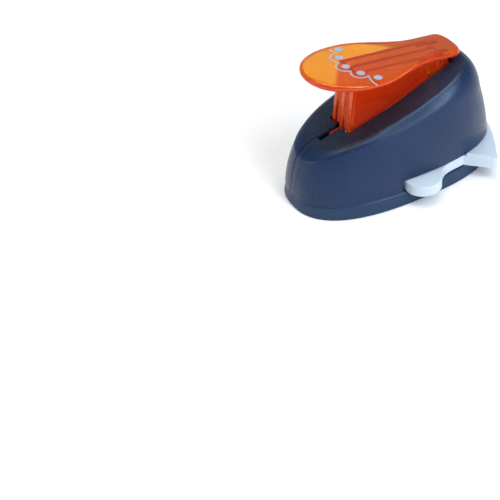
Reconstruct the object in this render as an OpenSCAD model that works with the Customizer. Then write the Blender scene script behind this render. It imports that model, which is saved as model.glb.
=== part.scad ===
// Lever corner punch for paper craft.
// +X points to the tall rear end where the paper goes in, +Z is up, and the
// origin is on the table under the middle of the tool. Millimetres.

/* [Body] */
// Length of the base along X
base_l = 117; // [112:1:122]
// Width of the base along Y
base_w = 63.6; // [61:0.2:66]
// Height of the seam between base and housing
seam_z = 7.5; // [7.2:0.1:7.8]
// Wall thickness of the moulded housing
shell_t = 2.2; // [1.8:0.1:2.4]
// Wall thickness of the base tray
tray_t = 2.4; // [2:0.1:2.8]

/* [Lever] */
// Half width of the thumb paddle at its widest
paddle_w = 21; // [19:0.5:22]
// Half width of the lever's narrow rear part
neck_w = 10.9; // [10:0.1:11.5]
// Thickness of the lever's top plate
plate_t = 4.3; // [3.8:0.1:4.6]
// Angle of the raised lever above level, towards the nose
rest_tilt = 6.95; // [6.5:0.05:7.2]
// Half width of the web under the plate
web_w = 8; // [7.6:0.1:8.1]

/* [Punching] */
// Height of the paper above the table
paper_z = 13.5; // [13.3:0.1:13.6]
// Thickness of the die plate
die_t = 3; // [2.6:0.1:3]
// Radius of each scallop
lobe_r = 4.3; // [4.3:0.05:4.5]
// Radius of the small round holes
hole_r = 1.5; // [1.2:0.1:1.7]
// Clearance between cutter and die, on each side
cut_gap = 0.06; // [0.04:0.01:0.1]

/* [Corner guide] */
// Half width over the two finger ears
ear_reach = 40; // [39:0.5:41]
// Height of the fences beside the paper
fence_h = 1.5; // [1:0.1:2]
// Thickness of the fences
fence_t = 1; // [0.8:0.1:1.2]

/* [Hidden] */
$fn = 64;

around = 64;              // points around each ring of the moulded shells
running = 0.05;           // radial clearance of a running fit
eps = 0.01;
half_l = base_l / 2;
half_w = base_w / 2;
side = [-1, 1];

// Colours
navy = [0.21, 0.26, 0.40];
orange = [0.93, 0.30, 0.10];
ice = [0.88, 0.94, 0.98];
steel = [0.72, 0.73, 0.75];
dark_steel = [0.45, 0.46, 0.48];
acetal = [0.92, 0.92, 0.90];

// Hinge of the lever and the involute cam below it
hinge_x = 35;
hinge_z = 50.5;
hinge_r = 2.5;            // pin radius
hub_r = 4.6;
cam_base_r = 11;          // base circle: the cam pushes straight down at this distance from the hinge
press_angle = 25;
cam_z = 40;               // height of the cam's lowest point with the lever raised
cam_gap = 0.05;           // play between cam and block

// Stack of plates
die_z = paper_z - die_t;
gap_h = 1;                // paper gap
strip_z = paper_z + gap_h;
strip_t = 2;
strip_top = strip_z + strip_t;
plate_w = 22;             // half width of die and stripper plates
plate_x0 = -7;
plate_x1 = 32;
tongue_x = 44;            // rear end of the stripper's tongue under the brackets
tongue_w = 17;
// The wings' outer edges run at 45 degrees, and the paper's corner comes to rest where
// the inner faces of their fences would meet
neck_x = 28.3;
neck_y = -27.6;
tip_x = neck_x + neck_y + fence_t * sqrt(2);
throat_z = 14.2;          // lower edge of the housing over the throat
step_x = -8.5;            // where the housing steps up to the throat
spacer_x1 = -1;

// Corner pattern, measured from the paper's corner
holes = [[18.9, 13.9], [13.1, 7.7], [10.8, 0], [13.1, -7.7], [18.9, -13.9]];
cutter_rim = 2.5;         // how far the cutter reaches past the paper's edges
edge_run = 23.2;          // length cut along each edge

// Punch block
block_z = 22;
block_h = 7;
lug_h = 11;               // the lugs that slide on the guide posts are taller
lug_r = 5.1;
block_x0 = 1;
block_x1 = 27;
column_x0 = 15;
column_x1 = 27;
cutter_z = 15.2;          // lower end of the cutters with the lever raised
post_x = 8;
post_y = 18.2;
post_r = 2.5;
post_top = 34.5;
spring_r = 3.8;           // outside of the return springs
spring_wire = 0.45;       // wire radius
spring_top = 27;

// Housing screws: [x, y, top of the boss]
bosses = [[-38, 17.5, 26], [-38, -17.5, 26], [-16, 24, 17.5], [-16, -24, 17.5]];
boss_r = 3.2;
screw_r = 1.4;

// ---------------------------------------------------------------- helpers

function power(v, e) = sign(v) * pow(abs(v), e);
// Point on a superellipse from x0 to x1, half width w, exponent n, at angle a
function oval(x0, x1, w, n, a) =
    [(x0 + x1) / 2 + (x1 - x0) / 2 * power(cos(a), 2 / n), w * power(sin(a), 2 / n)];
function arc(cx, cy, r, a0, a1, n) =
    [for (i = [0:n]) [cx + r * cos(a0 + (a1 - a0) * i / n), cy + r * sin(a0 + (a1 - a0) * i / n)]];

// Height of the roof along the slot: a quartic in x / 50
function ridge(x) = let (u = x / 50) 47.1 + 17.1 * u + 5.3 * u * u - 2.3 * pow(u, 3) - 5.1 * pow(u, 4);
dish = 1.2;               // how far the roof rises from the slot to its crease
function roof(x, y) = ridge(x) + dish * pow(y / crease_ring[2], 2);

// The rings that shape the housing: [nose end, rear end, half width, exponent]
seam_ring = [-half_l + 0.5, half_l - 1.1, half_w - 2.1, 2.5];
shoulder_ring = [-half_l + 5.7, half_l - 10.5, half_w - 5, 2.65];
corner_ring = [-half_l + 8.2, half_l - 13.1, half_w - 5.3, 2.68];
crease_ring = [-half_l + 12.4, half_l - 19.7, half_w - 9.8, 2.66];
shoulder_z = 29.1;          // height of the shoulder at the nose
shoulder_rise = 15.1;     // and how much higher it is at the rear
shoulder_lift = 4.9;      // how far it swings up along the sides
// How far the bend's corner lies under the roof: little at the nose, more from the middle on
function corner_drop(x) = 1.7 - cos(180 * min(1, max(0, (x + 35) / 30)));
belly = 1;                // outward bulge of the side wall
taper = 0.0046;           // how much the rings above the seam widen for each mm towards the rear
middle_x = -2.4;          // the roof's rings shrink to this place

// Points on the rings, each shrunk by t for the inner skin
function on_ring(r, a, t) = oval(r[0] + t, r[1] - t, r[2] - t, r[3], a);
function seam_at(a, t) = let (p = on_ring(seam_ring, a, t)) [p[0], p[1], seam_z];
function widened(p) = [p[0], p[1] * (1 + taper * p[0])];
function shoulder_at(a, t) = let (p = widened(on_ring(shoulder_ring, a, t)), r = shoulder_ring)
    [p[0], p[1], shoulder_z + shoulder_rise * (p[0] - r[0]) / (r[1] - r[0])
        + shoulder_lift * pow(abs(sin(a)), 1.5) - 0.6 * t];
function corner_at(a, t) = let (p = widened(on_ring(corner_ring, a, t)))
    [p[0], p[1], roof(p[0], p[1]) - corner_drop(p[0]) - t];
function crease_at(a, t) = let (p = widened(on_ring(crease_ring, a, t)))
    [p[0], p[1], roof(p[0], p[1]) - t];
function wall_at(a, s, t) = (1 - s) * seam_at(a, t) + s * shoulder_at(a, t)
    + belly * 4 * s * (1 - s) * [cos(a), sin(a), 0];
function shoulder_bend(a, s, t) = pow(1 - s, 2) * shoulder_at(a, t)
    + 2 * s * (1 - s) * corner_at(a, t) + s * s * crease_at(a, t);
function top_at(a, s, t) =
    let (p = crease_at(a, t), x = middle_x + (p[0] - middle_x) * (1 - s), y = p[1] * (1 - s))
    [x, y, roof(x, y) - t];
function ring_at(k, a, t) = k <= 5 ? wall_at(a, k / 5, t)
    : k <= 10 ? shoulder_bend(a, (k - 5) / 5, t)
    : top_at(a, (k - 10) / 5, t);
skin_rings = 14;          // 0 to 5 up the wall, to 10 round the shoulder, to 14 over the roof

// Closed solid through rings of points, bottom ring flat, top closed to one point
module loft(rings, top) {
    m = len(rings[0]);
    k = len(rings);
    faces = concat(
        [for (j = [1:m - 2]) [0, j, j + 1]],
        [for (i = [0:k - 2], j = [0:m - 1]) let (b = (j + 1) % m)
            [i * m + j, (i + 1) * m + j, (i + 1) * m + b]],
        [for (i = [0:k - 2], j = [0:m - 1]) let (b = (j + 1) % m) [i * m + j, (i + 1) * m + b, i * m + b]],
        [for (j = [0:m - 1]) [(k - 1) * m + j, m * k, (k - 1) * m + (j + 1) % m]]);
    polyhedron([for (r = rings) each r, top], faces);
}

// Solid body of the housing, shrunk by t
module skin(t) {
    rings = [for (k = [0:skin_rings]) [for (j = [0:around - 1]) ring_at(k, 360 * j / around, t)]];
    first = t > 0 ? [for (p = rings[0]) [p[0], p[1], p[2] - 2]] : [];
    loft(t > 0 ? concat([first], rings) : rings, [middle_x, 0, roof(middle_x, 0) - t]);
}

// Screw with its shank upwards from z = 0 and a hexagon recess in its head below
module screw(length, head_r, head_h) {
    translate([0, 0, -eps]) cylinder(r = screw_r - running, h = length + eps);
    translate([0, 0, -head_h]) difference() {
        cylinder(r = head_r, h = head_h);
        translate([0, 0, -eps]) cylinder(r = head_r * 0.45, h = head_h * 0.6, $fn = 6);
    }
}

// The scalloped corner, grown by g on every side
module corner_shape(g) {
    out = cutter_rim * sqrt(2);
    run = edge_run / sqrt(2);
    rim = (cutter_rim + g) / sqrt(2);
    end = g / sqrt(2);
    half = [[tip_x - out - g * sqrt(2), 0], [tip_x + run - rim + end, run + rim + end],
        [tip_x + holes[0][0] + end, holes[0][1] + end], [tip_x + holes[1][0], holes[1][1]],
        [tip_x + holes[2][0], 0]];
    difference() {
        polygon(concat(half, [for (i = [3:-1:1]) [half[i][0], -half[i][1]]]));
        for (h = holes) translate([tip_x + h[0], h[1]]) circle(r = lobe_r - g);
    }
}

// ---------------------------------------------------------------- base

foot_inset = 1.9;         // how far the base wall leans in from table to seam
function foot(a, t, z) = let (p = oval(-half_l + t, half_l - t, half_w - t, 2.5, a)) [p[0], p[1], z];
module foot_solid() {
    heights = [[0.6, 0], [0, 0.8], [1.3, seam_z - 0.9], [foot_inset, seam_z]];
    loft([for (h = heights) [for (j = [0:around - 1]) foot(360 * j / around, h[0], h[1])]],
        [0, 0, seam_z]);
}
module foot_oval(t, z0, z1) translate([0, 0, z0]) linear_extrude(z1 - z0)
    polygon([for (j = [0:around - 1]) let (p = foot(360 * j / around, t, 0)) [p[0], p[1]]]);

deck_top = 6.9;
deck_t = 1.5;
floor_t = 2.5;
seat_wall = 3.3;
module chute() translate([plate_x0 + seat_wall, -plate_w + seat_wall, -1])
    cube([plate_x1 - plate_x0 - 2 * seat_wall, 2 * (plate_w - seat_wall), die_z + 2]);
screw_head_r = 2.7;
screw_head_h = 1.8;
head_room = 0.3;          // round a screw head
shank_room = 0.2;         // round a screw that passes through
recess_h = 3.4;           // depth of the recess for a screw head, from below the table
plate_screw_x = plate_x0 + seat_wall / 2;
plate_screw_y = [-19, -12, 12, 19];
deck_posts = [[46, 14], [46, -14], [16, 26.2], [16, -26.2]];
deck_post_r = 1.6;
lip_x = step_x - 0.2;     // behind this the base is level with the deck

module base_tray() color(navy) difference() {
    union() {
        difference() {
            foot_solid();
            foot_oval(foot_inset + tray_t, floor_t, seam_z + 1);
            translate([lip_x, -half_w, deck_top]) cube([base_l, base_w, 2]);
        }
        translate([plate_x0, -plate_w, floor_t - eps])
            cube([plate_x1 - plate_x0, 2 * plate_w, die_z - floor_t + eps]);
        for (b = bosses) translate([b[0], b[1], floor_t - eps]) cylinder(r = boss_r, h = seam_z - floor_t);
        for (p = deck_posts) translate([p[0], p[1], floor_t - eps])
            cylinder(r = deck_post_r, h = deck_top - deck_t - floor_t);
    }
    chute();
    for (b = bosses) translate([b[0], b[1], 0]) {
        translate([0, 0, -1]) cylinder(r = screw_r + shank_room, h = seam_z + 2);
        translate([0, 0, -1]) cylinder(r = screw_head_r + head_room, h = recess_h);
    }
    for (y = plate_screw_y) translate([plate_screw_x, y, floor_t + 1])
        cylinder(r = screw_r, h = die_z);
}

deck_gap = 0.3;           // between the deck and the walls round it
rail_h = 0.55;            // the guide's arms slide on two low rails
rail_w = 1.2;
rail_l = 31;
rail_y = 24.4;
module guide_deck() color(navy) {
    difference() {
        foot_oval(foot_inset + tray_t + deck_gap, deck_top - deck_t, deck_top);
        translate([step_x + 0.5 - base_l, -half_w, 0]) cube([base_l, base_w, seam_z]);
        translate([plate_x0 - deck_gap, -plate_w - deck_gap, 0])
            cube([plate_x1 - plate_x0 + 2 * deck_gap, 2 * (plate_w + deck_gap), seam_z]);
    }
    for (s = side) translate([plate_x0 + 1, s * rail_y - rail_w / 2, deck_top - eps])
        cube([rail_l, rail_w, rail_h]);
}

// ---------------------------------------------------------------- housing

slot_w = web_w + 0.65;    // half width of the lever's slot
slot_x0 = -29.6;
slot_x1 = 33.5;
narrow_w = 1.8;           // half width of the narrow slot for the lever's toe
narrow_x0 = -41;
strip_half = 2.4;         // half width of the strip down the nose
cut_low = 20;             // the slots are cut from this height up
cut_high = 60;

module housing() color(navy) difference() {
    union() {
        difference() {
            skin(0);
            skin(shell_t);
        }
        for (b = bosses) translate([b[0], b[1], seam_z]) cylinder(r = boss_r, h = b[2] - seam_z);
    }
    translate([slot_x0, -slot_w, cut_low]) cube([slot_x1 - slot_x0, 2 * slot_w, cut_high]);
    translate([narrow_x0, -narrow_w, cut_low]) cube([slot_x0 - narrow_x0 + eps, 2 * narrow_w, cut_high]);
    translate([-base_l + narrow_x0, -strip_half, 0]) cube([base_l, 2 * strip_half, cut_high]);
    translate([step_x, -half_w, 0]) cube([base_l, base_w, throat_z]);
    for (b = bosses) translate([b[0], b[1], seam_z - 1]) cylinder(r = screw_r, h = b[2] - seam_z - 1);
}

strip_gap = 0.08;
module nose_strip() color(navy) intersection() {
    difference() {
        skin(0.05);
        skin(shell_t);
    }
    translate([-half_l, -strip_half + strip_gap, seam_z])
        cube([half_l + narrow_x0 - strip_gap, 2 * (strip_half - strip_gap), cut_high]);
}

// ---------------------------------------------------------------- lever

plate_x = 34.7;           // a point on the plate's top edge, where its height is known
plate_z = 65.4;
bulge_s = -53.2;          // widest place of the paddle, along the plate from that point
tip_s = -82.8;            // end of the paddle
waist_l = 39.5;           // length over which the paddle narrows to the rear part
function paddle_half(s, w) = s < bulge_s
    ? w * pow(max(0, 1 - pow((bulge_s - s) / (bulge_s - tip_s), 2.3)), 1 / 2.1)
    : neck_w + (w - neck_w) * (1 + cos(180 * min(1, (s - bulge_s) / waist_l))) / 2 - (paddle_w - w);
module paddle_shape(inset) {
    n = 12;
    front = [for (i = [0:n]) let (u = sin(90 * (1 - i / n)), s = bulge_s - (bulge_s - tip_s) * u)
        [s + inset * u, paddle_half(s, paddle_w - inset)]];
    waist = [for (i = [1:n]) let (s = bulge_s * (1 - i / n)) [s, paddle_half(s, paddle_w - inset)]];
    end = [rear_s - inset / 2, 0];
    rear = [[rear_s - 2.1, neck_w - 1.5 - inset], [rear_s - 0.9, 6], end];
    half = [for (p = concat(front, waist, rear)) if (p[1] > 0) p];
    polygon(concat([[tip_s + inset, 0]], half, [end],
        [for (i = [len(half) - 1:-1:0]) [half[i][0], -half[i][1]]]));
}
rear_s = 3.8;             // rear end of the plate
edge_inset = 2;           // how far the plate's lower half lies inside its upper half
module on_plate() translate([plate_x, 0, plate_z]) rotate([0, rest_tilt, 0]) children();
module rib(y, w, pts) translate([0, y + w / 2, 0]) rotate([90, 0, 0]) linear_extrude(w) polygon(pts);
// Cylinder along Y, centred on the middle plane
module across_y(x, z, r, l) translate([x, l / 2, z]) rotate([90, 0, 0]) cylinder(r = r, h = l);

// Corners of the web, seen from the side
web_front = [-24.2, 70];
web_toe = [-28.6, 37.4];
web_low = [-27.7, 36.1];
web_rear = [27, 54.3];
rib_t = 2.5;
panel_back = 3;           // how far the cross panel lies behind the fronts of the ribs
arm_y = 4.6;
arm_t = 2.8;
hub_w = 10;               // half width of the lever's hub

module lever_web() {
    outline = [web_front, web_toe, web_low, web_rear, [web_rear[0], 70]];
    toe = [[-28, 37.2], [-34.4, 36.2], [-34.6, 34.6], [-27.7, 36]];
    for (y = [-web_w + rib_t / 2, 0, web_w - rib_t / 2]) rib(y, rib_t, outline);
    rib(0, rib_t, toe);
    back = panel_back;
    rib(0, 2 * web_w - eps, [[web_front[0] + back, 70], [web_toe[0] + back + 0.4, 37.7],
        [web_toe[0] + back + 2.2, 38.3], [web_front[0] + back + 1.8, 70]]);
    rib(0, 2 * web_w - eps, [[25.4, 66], [25.4, 53.9], [27, 54.3], [27, 66]]);
    // Arms down to the hinge
    for (s = side) rib(s * arm_y, arm_t, [[19, 65], [19, 61], [hinge_x - hub_r, hinge_z],
        [hinge_x, hinge_z - hub_r + 0.6], [hinge_x + 4, hinge_z + 1], [35.6, 54.9], [31.6, 58.4],
        [31.4, 65]]);
    across_y(hinge_x, hinge_z, hub_r, 2 * hub_w);
}

module lever() color(orange, 0.85) difference() {
    union() {
        on_plate() translate([0, 0, -plate_t / 2]) linear_extrude(plate_t / 2) paddle_shape(0);
        on_plate() translate([0, 0, -plate_t]) linear_extrude(plate_t / 2 + eps) paddle_shape(edge_inset);
        difference() {
            lever_web();
            on_plate() translate([-100, -50, -1]) cube([150, 100, 50]);
        }
    }
    across_y(hinge_x, hinge_z, hinge_r + running, base_w);
    cam_pin_bore(cam_pin_r, base_w);
    // room for the cam's two cheeks, which hold the middle rib between them
    for (s = side) translate([14, s * cheek_y - cheek_t / 2 - 0.1, 42]) cube([13.5, cheek_t + 0.2, 16]);
}

cam_pin_x = 20;
cam_pin_z = 55.3;
cam_pin_r = 1.25;
cam_pin_end = 7.1;        // one side wall closes the end of the pin's bore
// From that closed end to y = open
module cam_pin_bore(r, open) translate([cam_pin_x, open, cam_pin_z]) rotate([90, 0, 0])
    cylinder(r = r, h = open + cam_pin_end);
cheek_y = 2.55;           // the cam's two cheeks
cheek_t = 2.3;
// Involute face: at press angle p the block's flat top touches it straight below the base circle
function cam_at(p) = let (h = cam_z - hinge_z - cam_base_r * p * PI / 180)
    [hinge_x - cam_base_r * cos(p) + h * sin(p), hinge_z + cam_base_r * sin(p) + h * cos(p)];
module thrust_cam() color(acetal) difference() {
    union() {
        face = [for (p = [0:2.5:press_angle]) cam_at(p)];
        rib(0, 10, concat([[29, 41.4]], face, [[15.4, 43.4], [15.6, 50], [24, 52.7], [27.4, 50]]));
        cheek = [[15.8, 49], [15.8, 56], [18, 57.6], [22.5, 57.6], [25, 56], [25, 50]];
        for (s = side) rib(s * cheek_y, cheek_t, cheek);
    }
    across_y(cam_pin_x, cam_pin_z, cam_pin_r + running, base_w);
    // slot for the middle rib
    translate([10, -rib_t / 2 - running, 45]) cube([20, rib_t + 2 * running, 20]);
    // clearance to the lever's hub
    across_y(hinge_x, hinge_z, hub_r + 0.3, base_w);
}
module cam_pin() color(steel) cam_pin_bore(cam_pin_r, web_w - 0.1);

// ---------------------------------------------------------------- hinge supports

bracket_y = 10.2;         // inner face of each upright
bracket_t = 2;
bracket_x0 = 29.4;
bracket_x1 = 43.6;
eye_r = 5.2;              // round end of the upright, about the pin
bracket_foot_w = 6.6;
bracket_foot_t = 1.6;
bracket_screw_y = 14.6;
pin_l = 27.2;
clip_t = 0.8;
clip_r = 4.2;
clip_y = 12.65;           // middle of each clip
module hinge_pin() color(steel) across_y(hinge_x, hinge_z, hinge_r, pin_l);
module pin_clips() color(dark_steel) for (s = side) translate([hinge_x, s * clip_y + clip_t / 2, hinge_z])
    rotate([90, 0, 0]) difference() {
        cylinder(r = clip_r, h = clip_t);
        translate([0, 0, -1]) cylinder(r = hinge_r, h = 3);
        translate([-1.2, -6, -1]) cube([2.4, 5, 3]);
    }
foot_screws = [32.8, 40.6];
module bracket(s) difference() {
    union() {
        rib(s * (bracket_y + bracket_t / 2), bracket_t, [[bracket_x0, strip_top], [bracket_x1, strip_top],
            [bracket_x1, 24], [hinge_x + eye_r - 0.1, hinge_z - 1.1], [hinge_x - eye_r + 0.1, hinge_z - 1.1],
            [bracket_x0, 24]]);
        translate([hinge_x, s * bracket_y, hinge_z]) rotate([s > 0 ? -90 : 90, 0, 0])
            cylinder(r = eye_r, h = bracket_t);
        translate([bracket_x0, s > 0 ? bracket_y : -bracket_y - bracket_foot_w, strip_top])
            cube([bracket_x1 - bracket_x0, bracket_foot_w, bracket_foot_t]);
    }
    across_y(hinge_x, hinge_z, hinge_r, base_w);
    for (x = foot_screws) translate([x, s * bracket_screw_y, strip_top - 1]) cylinder(r = screw_r, h = 4);
    // window in the upright
    rib(s * (bracket_y + bracket_t / 2), 2 * bracket_t, [[33, 21], [40, 21], [38, 40], [34, 40]]);
}
module bracket_left() color(dark_steel) bracket(1);
module bracket_right() color(dark_steel) bracket(-1);
module bracket_screws() color(steel) for (s = side, x = foot_screws)
    translate([x, s * bracket_screw_y, strip_top + bracket_foot_t]) mirror([0, 0, 1])
        screw(strip_t + bracket_foot_t - 0.2, 2.1, 1.3);

// ---------------------------------------------------------------- plates

module plate_cuts() {
    corner_shape(cut_gap);
    for (h = holes) translate([tip_x + h[0], h[1]]) circle(r = hole_r + cut_gap);
}
module screw_holes() for (y = plate_screw_y) translate([plate_screw_x, y]) circle(r = screw_r);
module post_holes() for (s = side) translate([post_x, s * post_y]) circle(r = post_r);

module die_plate() color(steel) translate([0, 0, die_z]) linear_extrude(die_t) difference() {
    translate([plate_x0, -plate_w]) square([plate_x1 - plate_x0, 2 * plate_w]);
    plate_cuts();
    screw_holes();
    post_holes();
}
module throat_spacer() color(dark_steel) translate([0, 0, paper_z]) linear_extrude(gap_h) difference() {
    translate([plate_x0, -plate_w]) square([spacer_x1 - plate_x0, 2 * plate_w]);
    polygon([[tip_x - cutter_rim * 1.6, 0], [tip_x + 4, 8], [tip_x + 4, -8]]);
    screw_holes();
}
module stripper_plate() color(steel) translate([0, 0, strip_z]) linear_extrude(strip_t) difference() {
    union() {
        translate([plate_x0, -plate_w]) square([plate_x1 - plate_x0, 2 * plate_w]);
        translate([plate_x1 - 1, -tongue_w]) square([tongue_x - plate_x1 + 1, 2 * tongue_w]);
    }
    plate_cuts();
    screw_holes();
    post_holes();
    for (s = side, x = foot_screws) translate([x, s * bracket_screw_y]) circle(r = screw_r);
}
plate_screw_l = 12;
module plate_screws() color(dark_steel) for (y = plate_screw_y)
    translate([plate_screw_x, y, strip_top]) mirror([0, 0, 1]) screw(plate_screw_l, 2.2, 1.4);
post_tip = 0.6;           // chamfer on top of the guide posts
module guide_post(s) color(steel) translate([post_x, s * post_y, die_z]) {
    l = post_top - die_z - post_tip;
    cylinder(r = post_r, h = l);
    translate([0, 0, l]) cylinder(r1 = post_r, r2 = post_r - post_tip, h = post_tip);
}
module guide_post_left() guide_post(1);
module guide_post_right() guide_post(-1);

// ---------------------------------------------------------------- punch

cast = [0.30, 0.31, 0.33];
block_w = 18;             // half width of the block and, next, of its column under the cam
column_w = 5;
cutter_screw_x = 4.6;
cutter_screw_head = [2.4, 1.4];
sink = 1.5;               // depth of the recess for that screw's head
socket = 4;               // how deep the round punches sit in the block
module punch_block() color(cast) difference() {
    union() {
        translate([block_x0, -block_w, block_z]) cube([block_x1 - block_x0, 2 * block_w, block_h]);
        for (s = side) translate([post_x, s * post_y, block_z]) cylinder(r = lug_r, h = lug_h);
        translate([column_x0, -column_w, block_z])
            cube([column_x1 - column_x0, 2 * column_w, cam_z - cam_gap - block_z]);
    }
    for (s = side) translate([post_x, s * post_y, block_z - 1]) {
        cylinder(r = post_r + running, h = lug_h + 2);
        cylinder(r = spring_r + 0.4, h = spring_top - block_z + 1);
    }
    for (h = holes) translate([tip_x + h[0], h[1], block_z - 1]) cylinder(r = hole_r, h = socket + 1);
    translate([cutter_screw_x, 0, block_z - 1]) cylinder(r = screw_r, h = block_h + 2);
    translate([cutter_screw_x, 0, block_z + block_h - sink]) cylinder(r = cutter_screw_head[0] + 0.2, h = 3);
}
module corner_cutter() color(steel) difference() {
    translate([0, 0, cutter_z]) linear_extrude(block_z - cutter_z) corner_shape(0);
    translate([cutter_screw_x, 0, block_z - 4]) cylinder(r = screw_r, h = 5);
}
module hole_punches() color(steel) for (h = holes) translate([tip_x + h[0], h[1], cutter_z])
    cylinder(r = hole_r, h = block_z + socket - cutter_z);
module cutter_screw() color(dark_steel) translate([cutter_screw_x, 0, block_z + block_h - sink])
    mirror([0, 0, 1]) screw(block_h + 2, cutter_screw_head[0], cutter_screw_head[1]);

coils = 5;
turn_steps = 16;
wire_sides = 6;
module return_spring(s) {
    r = spring_r - spring_wire;
    low = strip_top + spring_wire;
    rise = spring_top - spring_wire - low;
    n = coils * turn_steps;
    // dead coils at both ends: height follows a smooth step along the wire
    function lift(u) = let (v = max(0, min(1, (u - 0.16) / 0.68))) low + rise * v;
    function at(i) = let (u = i / n, a = 360 * coils * u) [for (k = [0:wire_sides - 1])
        let (w = 360 * k / wire_sides, q = r + spring_wire * cos(w))
        [q * cos(a), q * sin(a), lift(u) + spring_wire * sin(w)]];
    last = n * wire_sides;
    faces = concat(
        [for (k = [1:wire_sides - 2]) [0, k, k + 1]],
        [for (i = [0:n - 1], k = [0:wire_sides - 1]) let (b = (k + 1) % wire_sides)
            [i * wire_sides + k, (i + 1) * wire_sides + k, (i + 1) * wire_sides + b]],
        [for (i = [0:n - 1], k = [0:wire_sides - 1]) let (b = (k + 1) % wire_sides)
            [i * wire_sides + k, (i + 1) * wire_sides + b, i * wire_sides + b]],
        [for (k = [1:wire_sides - 2]) [last, last + k + 1, last + k]]);
    translate([post_x, s * post_y, 0]) polyhedron([for (i = [0:n]) each at(i)], faces);
}
module return_spring_left() color(steel) return_spring(1);
module return_spring_right() color(steel) return_spring(-1);

module base_screws() color(dark_steel) for (b = bosses)
    translate([b[0], b[1], screw_head_h]) screw(min(b[2] - 4, 16) - screw_head_h, screw_head_r, screw_head_h);

// ---------------------------------------------------------------- corner guide

guide_z = 7.5;
guide_x0 = -8.2;          // front end of the arms
guide_inner = 22.4;       // half width between the arms
guide_rear = 36;          // rear end of the gap between the arms
ear_r = 9.8;              // front corner of each finger ear
wing_x = 39.2;            // outer corner of each wing
wing_y = -38.5;
wing_r = 2;
fence_l = 12;
fence_start = 1.5;        // from the neck along the wing's edge
hollow_h = 3.4;           // depth of the hollows under the guide
function guide_tail(y) = half_l - 0.05 * pow(abs(y), 1.6);
guide_half = concat(
    [[guide_x0, -guide_inner], [guide_x0, -31.5]],
    arc(1.4, -ear_reach + ear_r, ear_r, 200, 325, 12),
    [[11.2, -33.2], [13.6, -31], [16.8, -29.3], [20.6, -28.3], [neck_x, neck_y], [wing_x, wing_y]],
    arc(wing_x + wing_r - 0.1, wing_y + wing_r, wing_r, -100, -20, 4),
    [for (y = [-34:2:-2]) [guide_tail(y), y]]);
module guide_outline() polygon(concat(guide_half, [[half_l, 0]],
    [for (i = [len(guide_half) - 1:-1:0]) [guide_half[i][0], -guide_half[i][1]]],
    [[guide_rear, guide_inner], [guide_rear, -guide_inner]]));
module corner_guide() color(ice) difference() {
    union() {
        translate([0, 0, guide_z]) linear_extrude(paper_z - guide_z) guide_outline();
        // fences along the two edges that the paper's sides follow
        for (s = side) translate([neck_x, -s * neck_y, paper_z - eps]) rotate([0, 0, 45 * s])
            translate([fence_start, s > 0 ? -fence_t : 0, 0]) cube([fence_l, fence_t, fence_h]);
    }
    // hollows in the underside
    for (s = side) translate([40, s * 27, guide_z - 1]) cylinder(r = 5.4, h = hollow_h + 1);
    translate([46, 0, guide_z - 1]) cylinder(r = 7, h = hollow_h + 1);
}

base_tray();
guide_deck();
housing();
nose_strip();
lever();
thrust_cam();
cam_pin();
hinge_pin();
pin_clips();
bracket_left();
bracket_right();
bracket_screws();
stripper_plate();
throat_spacer();
die_plate();
plate_screws();
guide_post_left();
guide_post_right();
punch_block();
corner_cutter();
hole_punches();
cutter_screw();
return_spring_left();
return_spring_right();
base_screws();
corner_guide();
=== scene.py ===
"""Lever corner punch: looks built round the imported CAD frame. Shapes are worked out in millimetres."""

import math

import bmesh
import bpy
import numpy as np
from mathutils import Matrix, Vector


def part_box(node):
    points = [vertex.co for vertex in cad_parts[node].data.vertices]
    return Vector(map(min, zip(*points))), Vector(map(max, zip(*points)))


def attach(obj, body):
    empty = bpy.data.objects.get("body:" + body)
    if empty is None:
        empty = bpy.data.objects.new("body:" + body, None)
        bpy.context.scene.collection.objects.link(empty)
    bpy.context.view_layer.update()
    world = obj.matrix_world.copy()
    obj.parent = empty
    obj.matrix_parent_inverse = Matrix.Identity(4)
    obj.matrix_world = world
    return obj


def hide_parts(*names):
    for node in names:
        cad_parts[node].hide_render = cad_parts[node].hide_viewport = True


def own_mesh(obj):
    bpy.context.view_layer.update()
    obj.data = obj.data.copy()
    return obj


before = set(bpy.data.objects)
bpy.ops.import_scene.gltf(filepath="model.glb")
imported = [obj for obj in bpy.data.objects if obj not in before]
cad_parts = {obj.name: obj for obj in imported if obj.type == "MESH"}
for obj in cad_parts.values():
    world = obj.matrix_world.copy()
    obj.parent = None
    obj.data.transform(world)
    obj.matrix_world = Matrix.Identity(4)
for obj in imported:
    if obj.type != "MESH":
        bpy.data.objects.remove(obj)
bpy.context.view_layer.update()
MM = 0.001


# ---------------------------------------------------------------- sizes, in millimetres


def cad(node):
    """Lowest and highest corner of a CAD node, in millimetres."""
    low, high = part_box(node)
    return np.array(low) / MM, np.array(high) / MM


HALF_LENGTH, HALF_WIDTH = cad("base_tray")[1][:2]
GUIDE_LOW, GUIDE_HIGH = cad("corner_guide")
DIE_LOW, DIE_HIGH = cad("die_plate")
SEAM_Z = float(cad("housing")[0][2])
SHELL = 2.2

# rings round the body: front x, rear x, half width, exponent of the superellipse; the rings above
# the seam are wider towards the rear by WIDENING for each millimetre
FOOT_RING = (-HALF_LENGTH, HALF_LENGTH, HALF_WIDTH, 2.5)
SEAM_RING = (-58, 57.4, 29.7, 2.5)
SHOULDER_RING = (-52.8, 48, 26.8, 2.65)
CORNER_RING = (-50.3, 45.4, 26.5, 2.68)
CREASE_RING = (-46.1, 38.8, 22, 2.66)
WIDENING = 0.0046
WALL_BULGE = 1

# the roof's middle line as powers of x / ROOF_SPAN, and its rise from there to the crease
ROOF_SPAN = 50
ROOF_LINE = (47.1, 17.1, 5.3, -2.3, -5.1)
ROOF_DISH = 1.2

# height of the shoulder at the nose, its rise to the rear, and its extra height along the sides
SHOULDER_Z = 29.1
SHOULDER_RISE = 15.1
SHOULDER_CROWN = 4.9

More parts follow.
